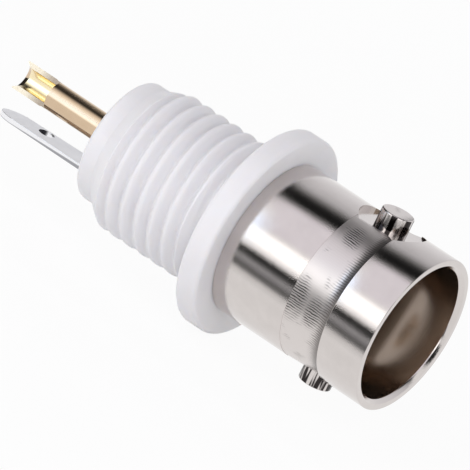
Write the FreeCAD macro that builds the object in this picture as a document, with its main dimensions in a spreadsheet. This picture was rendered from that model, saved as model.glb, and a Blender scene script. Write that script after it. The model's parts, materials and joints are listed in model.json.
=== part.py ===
"""Panel mount coaxial jack with a bayonet barrel and an insulating bushing.

Frame: X runs along the jack, +X the way the mating plug leaves it. The origin is the centre of
the flange's rear face, the one that seats on the panel. +Z points through the upper bayonet lug,
and the solder tag lies on the -Z side of the contact. Lengths are in millimetres.
"""

import FreeCAD, Part
import os
import re
import Sketcher

os.makedirs("parts", exist_ok=True)
doc = FreeCAD.newDocument("panel_mount_coaxial_jack")

# Driving sizes: the alias, its value and what it measures
SIZES = [
    # Insulating bushing
    ("flange_diameter", 12.5, "flange that covers the panel hole"),
    ("flange_thickness", 1.45, "flange, along the axis"),
    ("flange_edge", 0.2, "bevel of both flange rims"),
    ("thread_diameter", 8.9, "over the crests of the panel thread"),
    ("thread_pitch", 1.0, "one turn of the panel thread"),
    ("thread_depth_share", 0.57, "depth of the thread, in pitches"),
    ("thread_crest_share", 0.24, "width of a crest, in pitches"),
    ("thread_overcut", 0.1, "how far the cutting form stands over the crests"),
    ("thread_start_angle", 261.0, "turn of the bushing that sets where the crests lie"),
    ("thread_relief_length", 0.95, "plain undercut behind the flange"),
    ("thread_relief_bevel", 0.6, "bevel in the undercut's corner at the flange"),
    ("thread_length", 7.3, "panel face to the end of the full crests"),
    ("lead_in_length", 1.1, "taper from the last crest to the tail"),
    ("bushing_tail_length", 0.9, "plain tail behind the taper"),
    ("bushing_tail_wall", 0.77, "wall of the tail round the tag's recess"),
    ("bushing_tail_edge", 0.25, "bevel of the tail's rear rim"),
    ("web_thickness", 0.9, "inner wall that the shell and the tag clamp"),
    ("tag_recess_gap", 0.1, "rim of the tag's eyelet to the wall of its recess"),
    ("tag_recess_depth", 2.8, "tail's rear face to the inner wall"),
    # Shell
    ("barrel_length", 10.5, "flange face to the shell's front face"),
    ("plug_bore_diameter", 8.4, "bore that guides the plug"),
    ("plug_bore_depth", 5.0, "front face to the end of the plug's bore"),
    ("mouth_wall", 0.625, "wall of the polished cylinder at the mouth"),
    ("mouth_rim", 0.38, "flat rim round the mouth's countersink"),
    ("mouth_depth", 0.215, "depth of the mouth's countersink"),
    ("front_length", 2.9, "polished cylinder at the mouth, along the axis"),
    ("front_edge", 0.06, "bevel of the shell's front rim"),
    ("base_step", 0.075, "front cylinder down to the polished one at the flange"),
    ("band_length", 2.7, "milled band between the two polished cylinders"),
    ("band_rear_step", 0.02, "base cylinder down to the milled band"),
    ("band_front_step", 0.195, "front cylinder down to the milled band"),
    ("bore_taper_length", 0.9, "taper behind the plug's bore"),
    ("contact_bore_diameter", 6.6, "bore that the plug's outer contact enters"),
    ("contact_bore_depth", 8.4, "front face to the electrical butting face"),
    ("dielectric_seat_length", 3.0, "bore that grips the front insulator"),
    ("core_shoulder", 0.2, "step that stops the front insulator's collar"),
    ("neck_wall", 0.35, "neck of the shell inside the bushing"),
    ("neck_end_gap", 0.1, "end of the neck to the bushing's inner wall"),
    # Bayonet lugs
    ("lug_count", 2, "lugs round the barrel"),
    ("lug_diameter", 1.96, "bayonet lug"),
    ("lug_rise", 0.665, "lug's tip over the polished cylinder at the mouth"),
    ("lug_setback", 4.05, "front face to the lug's centre"),
    ("lug_edge", 0.1, "bevel round the lug's tip"),
    ("lug_pocket_ring", 1.07, "width of the round pocket that is cut about a lug"),
    ("lug_pocket_wall", 0.25, "wall left between the pocket's flat floor and the bore"),
    # Insulators
    ("nose_diameter", 4.72, "nose of the front insulator"),
    ("nose_setback", 3.4, "shell's front face to the nose"),
    ("nose_step", 0.17, "nose to the length that the shell grips"),
    ("rear_insulator_length", 2.55, "rear insulator ahead of the ferrule"),
    ("sleeve_wall", 0.29, "rear insulator inside the ferrule"),
    ("sleeve_overhang", 0.3, "rear insulator beyond the ferrule's lip"),
    ("fit_gap", 0.02, "radial clearance of pieces that are pressed or glued in"),
    ("tine_gap", 0.08, "radial room for the contact's tines"),
    # Rear ferrule
    ("ferrule_head_length", 1.6, "head of the ferrule in the shell's neck"),
    ("ferrule_wall", 0.23, "tail of the ferrule, through the tag"),
    ("ferrule_lip_rise", 0.2, "riveted lip over the ferrule's tail"),
    ("ferrule_lip_thickness", 0.25, "riveted lip, along the axis"),
    # Centre contact
    ("socket_bore_diameter", 1.38, "bore for the plug's pin"),
    ("tine_wall", 0.36, "wall of the contact's tines"),
    ("socket_bore_depth", 5.0, "depth of the bore for the pin"),
    ("socket_recess", 0.1, "tines behind the insulator's nose"),
    ("socket_slot_width", 0.25, "slot between two tines"),
    ("socket_slot_length", 3.8, "length of the tines"),
    ("contact_collar_rise", 0.4, "collar between the insulators, over the tines"),
    ("contact_collar_length", 0.6, "collar, along the axis"),
    ("contact_reach", 16.5, "panel face to the end of the solder cup"),
    ("cup_bore_diameter", 1.2, "bore of the solder cup"),
    ("cup_bore_depth", 2.7, "depth of the solder cup's bore"),
    ("cup_wall", 0.29, "wall of the solder cup"),
    ("cup_length", 2.05, "solder cup, along the axis"),
    ("contact_tail_step", 0.035, "solder cup down to the tail behind the collar"),
    ("cup_opening_length", 2.45, "side of the cup that is milled away, along the axis"),
    ("cup_mouth_rim", 0.07, "flat rim left round the countersunk end"),
    ("cup_mouth_depth", 0.3, "depth of the countersink in the cup's end"),
    ("cup_angle", 72.0, "turn of the cup's opening about the axis, from the upper lug"),
    # Solder tag
    ("tag_thickness", 0.3, "sheet of the tag"),
    ("tag_blade_gap", 0.45, "ferrule's lip to the blade's inner face"),
    ("tag_shoulder", 0.5, "blade's outer face to the eyelet's rim"),
    ("tag_width", 2.3, "blade of the tag"),
    ("tag_bend_radius", 0.2, "inside of the bend"),
    ("tag_reach", 16.5, "panel face to the tip of the blade"),
    ("tag_hole_diameter", 0.9, "hole for the wire"),
    ("tag_hole_setback", 2.9, "tip to the hole's centre"),
]
ALIASES = {alias for alias, value, meaning in SIZES}

sheet = doc.addObject("Spreadsheet::Sheet", "Sizes")
for row, (alias, value, meaning) in enumerate(SIZES, start=1):
    sheet.set(f"A{row}", meaning)
    sheet.set(f"B{row}", str(value))
    sheet.setAlias(f"B{row}", alias)
doc.recompute()

# Stations along the axis, worked out from the sizes
FRONT = "(flange_thickness + barrel_length)"
BAND_FRONT = f"({FRONT} - front_length)"
BAND_REAR = f"({BAND_FRONT} - band_length)"
LUG_CENTRE = f"({FRONT} - lug_setback)"
BUTTING_FACE = f"({FRONT} - contact_bore_depth)"
CORE_SHOULDER = f"({BUTTING_FACE} - dielectric_seat_length)"
NOSE = f"({FRONT} - nose_setback)"
BUSHING_REAR = "(-thread_length - lead_in_length - bushing_tail_length)"
WEB_REAR = f"({BUSHING_REAR} + tag_recess_depth)"
WEB_FRONT = f"({WEB_REAR} + web_thickness)"
NECK_END = f"({WEB_FRONT} + neck_end_gap)"
FERRULE_FRONT = f"({WEB_FRONT} + ferrule_head_length)"
SPLIT = f"({FERRULE_FRONT} + rear_insulator_length)"
TAG_REAR = f"({WEB_REAR} - tag_thickness)"
LIP_REAR = f"({TAG_REAR} - ferrule_lip_thickness)"
SLEEVE_REAR = f"({LIP_REAR} - sleeve_overhang)"
CONTACT_FRONT = f"({NOSE} - socket_recess)"
CUP_END = "(-contact_reach)"
TAG_TIP_CENTRE = "(tag_width / 2 - tag_reach)"

# Radii of the shell, from its bore outwards
PLUG_BORE = "(plug_bore_diameter / 2)"
FRONT_RADIUS = f"({PLUG_BORE} + mouth_wall)"
BASE_RADIUS = f"({FRONT_RADIUS} - base_step)"
POCKET_FLOOR = f"({PLUG_BORE} + lug_pocket_wall)"

# Radii of the core, each from the one inside it
TINES = "(socket_bore_diameter / 2 + tine_wall)"
CONTACT_COLLAR = f"({TINES} + contact_collar_rise)"
GRIPPED = "(nose_diameter / 2 + nose_step)"
GRIP_BORE = f"({GRIPPED} + fit_gap)"
CORE_BORE = f"({GRIP_BORE} + core_shoulder)"
CORE_FIT = f"({CORE_BORE} - fit_gap)"
NECK = f"({CORE_BORE} + neck_wall)"

# Radii at the rear, each from the one inside it
CUP = "(cup_bore_diameter / 2 + cup_wall)"
CUP_PASSAGE = f"({CUP} + fit_gap)"
SLEEVE = f"({CUP_PASSAGE} + sleeve_wall)"
SLEEVE_BORE = f"({SLEEVE} + fit_gap)"
FERRULE = f"({SLEEVE_BORE} + ferrule_wall)"
FERRULE_HOLE = f"({FERRULE} + fit_gap)"
FERRULE_LIP = f"({FERRULE} + ferrule_lip_rise)"
BLADE_INSIDE = f"({FERRULE_LIP} + tag_blade_gap)"
BLADE_OUTSIDE = f"({BLADE_INSIDE} + tag_thickness)"
EYELET = f"({BLADE_OUTSIDE} + tag_shoulder)"
TAG_RECESS = f"({EYELET} + tag_recess_gap)"
BUSHING_TAIL = f"({TAG_RECESS} + bushing_tail_wall)"
THREAD_ROOT = "(thread_diameter / 2 - thread_depth_share * thread_pitch)"

SAME = 1e-5  # lengths closer than this are equal


def from_sheet(text):
    """The same expression with each alias read from the sheet."""
    return re.sub(
        r"[a-z_]+",
        lambda word: f"Sizes.{word[0]}" if word[0] in ALIASES else word[0],
        text,
    )


def bind(item, path, text):
    """Tie one property of an object to the sheet."""
    item.setExpression(path, from_sheet(text))


def new_body(label):
    body = doc.addObject("PartDesign::Body", label)
    body.Label = label
    return body


def new_sketch(body, name, role, offset=None, turn=None):
    """A sketch on a plane of its own body, raised by offset or turned about its own x axis."""
    sketch = body.newObject("Sketcher::SketchObject", name)
    plane = next(item for item in body.Origin.OriginFeatures if item.Role == role)
    sketch.AttachmentSupport = [(plane, "")]
    sketch.MapMode = "FlatFace"
    if offset:
        bind(sketch, "AttachmentOffset.Base.z", offset)
    if turn:
        sketch.AttachmentOffset = FreeCAD.Placement(
            FreeCAD.Vector(), FreeCAD.Rotation(FreeCAD.Vector(1, 0, 0), 1)
        )
        bind(sketch, "AttachmentOffset.Rotation.Angle", turn)
    return sketch


def place_point(sketch, item, end, across, up):
    """Hold one point of a sketch at two expressions."""
    for kind, text in (("DistanceX", across), ("DistanceY", up)):
        held = sketch.addConstraint(Sketcher.Constraint(kind, -1, 1, item, end, 1.0))
        bind(sketch, f"Constraints[{held}]", text)


def draw_outline(sketch, points):
    """A closed outline of straight lines through the points."""
    count = len(points)
    # a rough start of the right order: the constraints then move each corner to its place
    rough = [FreeCAD.Vector(step, step * step + 1, 0) for step in range(count)]
    for step in range(count):
        line = Part.LineSegment(rough[step], rough[(step + 1) % count])
        sketch.addGeometry(line, False)
    for step in range(count):
        joined = Sketcher.Constraint("Coincident", step, 2, (step + 1) % count, 1)
        sketch.addConstraint(joined)
    for step, (across, up) in enumerate(points):
        place_point(sketch, step, 1, across, up)
    doc.recompute()


def draw_circle(sketch, across, up, diameter):
    """A circle, held by its centre and its diameter."""
    shape = Part.Circle(FreeCAD.Vector(), FreeCAD.Vector(0, 0, 1), 1.0)
    circle = sketch.addGeometry(shape, False)
    if (across, up) == ("0", "0"):
        sketch.addConstraint(Sketcher.Constraint("Coincident", circle, 3, -1, 1))
    elif up == "0":
        sketch.addConstraint(Sketcher.Constraint("PointOnObject", circle, 3, -1))
        held = sketch.addConstraint(
            Sketcher.Constraint("DistanceX", -1, 1, circle, 3, 1.0)
        )
        bind(sketch, f"Constraints[{held}]", across)
    else:
        place_point(sketch, circle, 3, across, up)
    wide = sketch.addConstraint(Sketcher.Constraint("Diameter", circle, 1.0))
    bind(sketch, f"Constraints[{wide}]", diameter)
    doc.recompute()


def draw_box(sketch, left, right, bottom, top):
    draw_outline(sketch, [(left, bottom), (right, bottom), (right, top), (left, top)])


def turned(body, points):
    """Turn an outline of (along the axis, radius) pairs about the X axis."""
    sketch = new_sketch(body, f"{body.Label}_outline", "XZ_Plane")
    draw_outline(sketch, points)
    turning = body.newObject("PartDesign::Revolution", f"{body.Label}_turned")
    turning.Profile = sketch
    turning.ReferenceAxis = (sketch, ["H_Axis"])
    turning.Angle = 360
    doc.recompute()
    return turning


def extruded(body, kind, sketch, length=None, both_ways=False, reverse=False):
    """Pad or pocket a sketch, and say so if a pocket takes nothing away."""
    before = body.Shape.Volume if body.Tip else 0
    name = sketch.Name.replace("_outline", "") + "_" + kind.lower()
    feature = body.newObject(f"PartDesign::{kind}", name)
    feature.Profile = sketch
    feature.Reversed = reverse
    if both_ways:
        feature.SideType = "Symmetric"
    if length:
        bind(feature, "Length", length)
    else:
        feature.Type = "ThroughAll"
    doc.recompute()
    after = feature.Shape.Volume
    if (after >= before) if kind == "Pocket" else (after <= before):
        raise ValueError(f"{name} changes nothing")
    return feature


def patterned(body, features, axis_sketch, count, angle="360"):
    """Repeat features about the X axis."""
    pattern = body.newObject("PartDesign::PolarPattern", f"{features[0].Name}_pattern")
    pattern.Originals = features
    pattern.Axis = (axis_sketch, ["H_Axis"])
    bind(pattern, "Occurrences", count)
    bind(pattern, "Angle", angle)
    body.Tip = pattern
    doc.recompute()
    return pattern


def circles(shape):
    """Each round edge's circle, with the name that a fillet knows the edge by."""
    return [
        (edge.Curve, f"Edge{number}")
        for number, edge in enumerate(shape.Edges, start=1)
        if edge.Curve.TypeId == "Part::GeomCircle"
    ]


def off_axis(circle):
    """How far a circle's centre lies from the X axis."""
    return (circle.Center.y**2 + circle.Center.z**2) ** 0.5


def ring_at(shape, along, pick=max):
    """The widest ring about the X axis at one station, or with pick=min the narrowest."""
    rings = [
        (circle.Radius, name)
        for circle, name in circles(shape)
        if off_axis(circle) < SAME and abs(circle.Center.x - along) < SAME
    ]
    return pick(rings)[1]


def lug_tips(shape):
    """The rims of the lugs: the circles whose centres lie farthest out."""
    highest = max(off_axis(circle) for circle, name in circles(shape))
    return [name for circle, name in circles(shape) if highest - off_axis(circle) < SAME]


def blade_lines(shape):
    """Straight edges that run right across the tag's blade, from the lowest up."""
    lines = [
        (edge.CenterOfMass.z, f"Edge{number}")
        for number, edge in enumerate(shape.Edges, start=1)
        if edge.BoundBox.XLength + edge.BoundBox.ZLength < SAME
        and abs(edge.Length - sheet.tag_width) < SAME
    ]
    return [name for height, name in sorted(lines)]


def dressed(body, kind, size, pick):
    """Round or bevel the edges that a function picks from a body's last shape."""
    base = body.Tip
    feature = body.newObject(f"PartDesign::{kind}", f"{base.Name}_{kind.lower()}")
    feature.Base = (base, pick(base.Shape))
    bind(feature, "Radius" if kind == "Fillet" else "Size", size)
    doc.recompute()
    return feature


def make_bushing():
    """Moulded bushing: flange, panel thread and tail, with an inner wall across its bore."""
    body = new_body("insulating_bushing")
    bore = f"{NECK} + fit_gap"
    crest_start = "-thread_relief_length - thread_depth_share * thread_pitch"
    turned(
        body,
        [
            ("flange_thickness", bore),
            ("flange_thickness", "flange_diameter / 2"),
            ("0", "flange_diameter / 2"),
            ("0", THREAD_ROOT),
            ("-thread_relief_length", THREAD_ROOT),
            (crest_start, "thread_diameter / 2"),
            ("-thread_length", "thread_diameter / 2"),
            ("-thread_length - lead_in_length", BUSHING_TAIL),
            (BUSHING_REAR, BUSHING_TAIL),
            (BUSHING_REAR, TAG_RECESS),
            (WEB_REAR, TAG_RECESS),
            (WEB_REAR, FERRULE_HOLE),
            (WEB_FRONT, FERRULE_HOLE),
            (WEB_FRONT, bore),
        ],
    )
    dressed(
        body,
        "Chamfer",
        "flange_edge",
        lambda shape: [ring_at(shape, sheet.flange_thickness), ring_at(shape, 0)],
    )
    dressed(
        body,
        "Chamfer",
        "thread_relief_bevel",
        lambda shape: [ring_at(shape, 0, pick=min)],
    )
    dressed(
        body,
        "Chamfer",
        "bushing_tail_edge",
        lambda shape: [ring_at(shape, shape.BoundBox.XMin)],
    )

    # The thread's groove starts in the undercut and runs out over the tail
    start = "-thread_relief_length / 2"
    slope = "((1 - thread_crest_share) / 2 / thread_depth_share)"
    top_half = f"(thread_depth_share * thread_pitch + thread_overcut) * {slope}"
    top = "thread_diameter / 2 + thread_overcut"
    form = new_sketch(body, "thread_form", "XZ_Plane")
    draw_outline(
        form,
        [
            (start, THREAD_ROOT),
            (f"{start} + {top_half}", top),
            (f"{start} - {top_half}", top),
        ],
    )
    before = body.Shape.Volume
    thread = body.newObject("PartDesign::SubtractiveHelix", "panel_thread")
    thread.Profile = form
    thread.ReferenceAxis = (form, ["H_Axis"])
    thread.Mode = 0
    thread.Reversed = True
    run = "thread_length + lead_in_length - thread_relief_length / 2"
    bind(thread, "Pitch", "thread_pitch")
    bind(thread, "Height", f"{run} + thread_pitch / 2")
    doc.recompute()
    if thread.Shape.Volume >= before:
        raise ValueError("the thread's groove cuts nothing")

    body.Placement = FreeCAD.Placement(
        FreeCAD.Vector(), FreeCAD.Rotation(FreeCAD.Vector(1, 0, 0), 1)
    )
    bind(body, "Placement.Rotation.Angle", "thread_start_angle")
    return body


def make_shell():
    """Turned shell: barrel, milled band with its bayonet lugs, and the neck in the bushing."""
    body = new_body("jack_shell")
    bore_end = f"{FRONT} - plug_bore_depth"
    turning = turned(
        body,
        [
            (FRONT, f"{FRONT_RADIUS} - mouth_rim"),
            (FRONT, FRONT_RADIUS),
            (BAND_FRONT, FRONT_RADIUS),
            (BAND_FRONT, f"{FRONT_RADIUS} - band_front_step"),
            (BAND_REAR, f"{BASE_RADIUS} - band_rear_step"),
            (BAND_REAR, BASE_RADIUS),
            ("flange_thickness", BASE_RADIUS),
            ("flange_thickness", NECK),
            (NECK_END, NECK),
            (NECK_END, CORE_BORE),
            (CORE_SHOULDER, CORE_BORE),
            (CORE_SHOULDER, GRIP_BORE),
            (BUTTING_FACE, GRIP_BORE),
            (BUTTING_FACE, "contact_bore_diameter / 2"),
            (f"{bore_end} - bore_taper_length", "contact_bore_diameter / 2"),
            (bore_end, PLUG_BORE),
            (f"{FRONT} - mouth_depth", PLUG_BORE),
        ],
    )
    dressed(
        body,
        "Chamfer",
        "front_edge",
        lambda shape: [ring_at(shape, shape.BoundBox.XMax)],
    )

    # Each lug stands on the flat floor of a round pocket, cut by a hollow mill
    rise = f"{FRONT_RADIUS} + lug_rise - {POCKET_FLOOR}"
    post = new_sketch(body, "lug", "XY_Plane", offset=POCKET_FLOOR)
    draw_circle(post, LUG_CENTRE, "0", "lug_diameter")
    lug = extruded(body, "Pad", post, rise)
    ring = new_sketch(body, "lug_ring", "XY_Plane", offset=POCKET_FLOOR)
    draw_circle(ring, LUG_CENTRE, "0", "lug_diameter")
    draw_circle(ring, LUG_CENTRE, "0", "lug_diameter + 2 * lug_pocket_ring")
    pocket = extruded(body, "Pocket", ring, rise, reverse=True)
    patterned(body, [lug, pocket], turning.Profile[0], "lug_count")
    dressed(body, "Chamfer", "lug_edge", lug_tips)
    return body


def make_front_insulator():
    """Turned insulator: a nose in the mouth of the jack and a collar that stops it."""
    body = new_body("front_insulator")
    socket_hole = f"{TINES} + tine_gap"
    seat = f"{CONTACT_COLLAR} + fit_gap"
    seat_front = f"{SPLIT} + contact_collar_length"
    turned(
        body,
        [
            (NOSE, socket_hole),
            (NOSE, "nose_diameter / 2"),
            (BUTTING_FACE, "nose_diameter / 2"),
            (BUTTING_FACE, GRIPPED),
            (CORE_SHOULDER, GRIPPED),
            (CORE_SHOULDER, CORE_FIT),
            (SPLIT, CORE_FIT),
            (SPLIT, seat),
            (seat_front, seat),
            (seat_front, socket_hole),
        ],
    )
    return body


def make_rear_insulator():
    """Turned insulator behind the contact's collar, with a sleeve through the ferrule."""
    body = new_body("rear_insulator")
    turned(
        body,
        [
            (SPLIT, CUP_PASSAGE),
            (SPLIT, CORE_FIT),
            (FERRULE_FRONT, CORE_FIT),
            (FERRULE_FRONT, SLEEVE),
            (SLEEVE_REAR, SLEEVE),
            (SLEEVE_REAR, CUP_PASSAGE),
        ],
    )
    return body


def make_ferrule():
    """Turned ferrule: its head closes the neck, and its lip rivets the tag to the bushing."""
    body = new_body("rear_ferrule")
    turned(
        body,
        [
            (FERRULE_FRONT, SLEEVE_BORE),
            (FERRULE_FRONT, CORE_FIT),
            (WEB_FRONT, CORE_FIT),
            (WEB_FRONT, FERRULE),
            (TAG_REAR, FERRULE),
            (TAG_REAR, FERRULE_LIP),
            (LIP_REAR, FERRULE_LIP),
            (LIP_REAR, SLEEVE_BORE),
        ],
    )
    return body


def make_contact():
    """Turned contact: slotted tines in front, a collar, and an open solder cup behind."""
    body = new_body("centre_contact")
    collar_front = f"{SPLIT} + contact_collar_length"
    bore_end = f"{CONTACT_FRONT} - socket_bore_depth"
    cup_front = f"{CUP_END} + cup_length"
    cup_floor = f"{CUP_END} + cup_bore_depth"
    turning = turned(
        body,
        [
            (CONTACT_FRONT, "socket_bore_diameter / 2"),
            (CONTACT_FRONT, TINES),
            (collar_front, TINES),
            (collar_front, CONTACT_COLLAR),
            (SPLIT, CONTACT_COLLAR),
            (SPLIT, f"{CUP} - contact_tail_step"),
            (cup_front, f"{CUP} - contact_tail_step"),
            (cup_front, CUP),
            (CUP_END, CUP),
            (CUP_END, f"{CUP} - cup_mouth_rim"),
            (f"{CUP_END} + cup_mouth_depth", "cup_bore_diameter / 2"),
            (cup_floor, "cup_bore_diameter / 2"),
            (cup_floor, "0"),
            (bore_end, "0"),
            (bore_end, "socket_bore_diameter / 2"),
        ],
    )
    tines = new_sketch(body, "tine_slot", "XZ_Plane")
    draw_box(
        tines,
        f"{CONTACT_FRONT} - socket_slot_length",
        f"{CONTACT_FRONT} + socket_slot_width",
        "-socket_slot_width / 2",
        "socket_slot_width / 2",
    )
    slot = extruded(body, "Pocket", tines, f"4 * {TINES}", both_ways=True)
    patterned(body, [slot], turning.Profile[0], "2", angle="90")

    # One side of the cup is milled away down to the axis, so that a wire can be laid in it
    opening = new_sketch(body, "cup_opening", "XY_Plane", turn="cup_angle")
    draw_box(
        opening,
        f"{CUP_END} - cup_wall",
        f"{CUP_END} + cup_opening_length",
        f"-{CUP} - cup_wall",
        f"{CUP} + cup_wall",
    )
    extruded(body, "Pocket", opening, f"2 * {CUP}", reverse=True)
    return body


def make_tag():
    """Stamped solder tag: an eyelet riveted on the ferrule, bent into a blade."""
    body = new_body("solder_tag")
    bend_top = f"(tag_bend_radius - {BLADE_INSIDE})"
    plate = new_sketch(body, "eyelet", "YZ_Plane", offset=TAG_REAR)
    draw_circle(plate, "0", "0", f"2 * {EYELET}")
    draw_circle(plate, "0", "0", f"2 * {FERRULE_HOLE}")
    extruded(body, "Pad", plate, "tag_thickness")
    trim = new_sketch(body, "eyelet_trim", "YZ_Plane", offset=TAG_REAR)
    draw_box(trim, f"-2 * {EYELET}", f"2 * {EYELET}", f"-2 * {EYELET}", bend_top)
    extruded(body, "Pocket", trim, "tag_thickness", reverse=True)

    strip = new_sketch(body, "blade", "XZ_Plane")
    draw_outline(
        strip,
        [
            (WEB_REAR, f"-{BLADE_OUTSIDE}"),
            (WEB_REAR, bend_top),
            (TAG_REAR, bend_top),
            (TAG_REAR, f"-{BLADE_INSIDE}"),
            (TAG_TIP_CENTRE, f"-{BLADE_INSIDE}"),
            (TAG_TIP_CENTRE, f"-{BLADE_OUTSIDE}"),
        ],
    )
    extruded(body, "Pad", strip, "tag_width", both_ways=True)
    tip = new_sketch(body, "blade_tip", "XY_Plane", offset=f"-{BLADE_OUTSIDE}")
    draw_circle(tip, TAG_TIP_CENTRE, "0", "tag_width")
    extruded(body, "Pad", tip, "tag_thickness")
    hole = new_sketch(body, "blade_hole", "XY_Plane", offset=f"-{BLADE_OUTSIDE}")
    draw_circle(hole, "tag_hole_setback - tag_reach", "0", "tag_hole_diameter")
    extruded(body, "Pocket", hole, "tag_thickness", reverse=True)

    dressed(body, "Fillet", "tag_bend_radius", lambda shape: blade_lines(shape)[-1:])
    outside = "tag_bend_radius + tag_thickness"
    dressed(body, "Fillet", outside, lambda shape: blade_lines(shape)[:1])
    return body


pieces = [
    make_bushing(),
    make_shell(),
    make_front_insulator(),
    make_rear_insulator(),
    make_ferrule(),
    make_contact(),
    make_tag(),
]
doc.recompute()

for item in doc.Objects:
    if "Invalid" in item.State or "Error" in item.State:
        raise ValueError(f"{item.Label} failed to rebuild")
for piece in pieces:
    shape = piece.Shape
    if shape.isNull() or not shape.isValid() or len(shape.Solids) != 1:
        raise ValueError(f"{piece.Label} is not one valid solid")

for piece in pieces:
    piece.Shape.exportStep(f"parts/{piece.Label}.step")
    box = piece.Shape.BoundBox
    print(
        f"{piece.Label}: {piece.Shape.Volume:.2f} mm3, "
        f"x {box.XMin:.2f} to {box.XMax:.2f}, {box.YLength:.2f} by {box.ZLength:.2f}"
    )
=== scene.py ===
# %% [markdown]
# # Panel mount coaxial jack
# The object is a small jack with a bayonet barrel. A white moulded bushing with a flange and a
# thread holds it in a panel and insulates it, and a gold contact and a solder tag come out behind.
# The CAD model gives every piece its place. This script gives each of them the fine shape and the
# finish that a photograph shows, because reflections on polished metal betray any coarse facet.

# %% Load the frame
import json
import math

import bmesh
import bpy
from mathutils import Matrix, Vector


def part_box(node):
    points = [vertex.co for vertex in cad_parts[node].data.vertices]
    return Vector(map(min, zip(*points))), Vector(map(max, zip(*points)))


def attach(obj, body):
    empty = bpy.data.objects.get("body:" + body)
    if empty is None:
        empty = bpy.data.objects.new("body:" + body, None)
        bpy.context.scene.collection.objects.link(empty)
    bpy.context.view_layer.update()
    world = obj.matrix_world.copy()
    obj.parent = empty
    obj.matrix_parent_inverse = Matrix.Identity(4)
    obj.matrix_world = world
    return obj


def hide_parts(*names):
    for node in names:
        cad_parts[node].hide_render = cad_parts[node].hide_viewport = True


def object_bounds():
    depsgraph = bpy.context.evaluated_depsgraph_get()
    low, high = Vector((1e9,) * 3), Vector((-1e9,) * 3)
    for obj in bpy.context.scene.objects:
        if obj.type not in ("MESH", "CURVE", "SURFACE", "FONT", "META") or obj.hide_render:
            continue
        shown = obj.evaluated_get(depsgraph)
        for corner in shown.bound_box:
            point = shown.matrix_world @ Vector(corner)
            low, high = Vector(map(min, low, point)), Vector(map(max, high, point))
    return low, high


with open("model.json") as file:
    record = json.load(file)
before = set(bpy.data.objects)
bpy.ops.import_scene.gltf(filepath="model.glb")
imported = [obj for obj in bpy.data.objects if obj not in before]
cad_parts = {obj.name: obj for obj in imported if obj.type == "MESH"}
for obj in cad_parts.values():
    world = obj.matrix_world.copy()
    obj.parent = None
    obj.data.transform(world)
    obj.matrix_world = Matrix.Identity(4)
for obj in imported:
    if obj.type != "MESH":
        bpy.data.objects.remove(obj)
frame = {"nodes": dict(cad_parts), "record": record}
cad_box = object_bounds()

MM = 0.001
print("CAD nodes:", sorted(frame["nodes"]))

# %% [markdown]
# ## Camera
# A long lens far away keeps parallel edges parallel, as the picture has them. It could be an
# orthographic camera, but a lens of real length also frames other views sensibly. The jack's
# axis runs down to the right in the picture, so the camera is rolled about its line of sight.

# %% Camera
AZIMUTH, ELEVATION, ROLL = 24.34, 16.57, 26.35  # degrees
AIM = Vector((-0.271, -0.258, -0.790)) * MM
# other views stand about a third farther off, and they clip at 100 times the jack's radius
DISTANCE = 1200 * MM
PICTURE_WIDTH = 26.01 * MM
SENSOR_WIDTH = 12.0
NEAREST, FARTHEST = 10 * MM, 5000 * MM

turn, rise = math.radians(AZIMUTH), math.radians(ELEVATION)
towards_camera = Vector(
    (math.sin(turn) * math.cos(rise), -math.cos(turn) * math.cos(rise), math.sin(rise))
)
camera = bpy.data.objects.new("camera", bpy.data.cameras.new("camera"))
bpy.context.scene.collection.objects.link(camera)
camera.data.sensor_width = SENSOR_WIDTH
camera.data.lens = SENSOR_WIDTH * DISTANCE / PICTURE_WIDTH
camera.data.clip_start, camera.data.clip_end = NEAREST, FARTHEST
level = towards_camera.to_track_quat("Z", "Y")
rolled = level @ Matrix.Rotation(math.radians(ROLL), 3, "Z").to_quaternion()
camera.rotation_euler = rolled.to_euler()
camera.location = AIM + towards_camera * DISTANCE
bpy.context.scene.camera = camera
bpy.context.scene.view_settings.view_transform = "Standard"
print(f"camera: {camera.data.lens:.0f} mm lens")

# %% [markdown]
# ## Shader sums
# Materials here are sums of noise, bands and gradients. Wiring Math nodes by hand hides the
# formula, so a small class wraps a socket and lets Python's own operators add the nodes. One
# method adds every other kind of node.


# %% A socket that can be used in sums
class Value:
    """A node's output. Arithmetic with it adds Math nodes."""

    def __init__(self, finish, socket):
        self.finish = finish
        self.socket = socket

    def math(self, operation, *terms):
        return self.finish.node("ShaderNodeMath", {"operation": operation}, dict(enumerate(terms)))

    def __add__(self, other):
        return self.math("ADD", self, other)

    def __sub__(self, other):
        return self.math("SUBTRACT", self, other)

    def __rsub__(self, other):
        return self.math("SUBTRACT", other, self)

    def __mul__(self, other):
        return self.math("MULTIPLY", self, other)

    def __truediv__(self, other):
        return self.math("DIVIDE", self, other)

    __radd__ = __add__
    __rmul__ = __mul__


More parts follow.
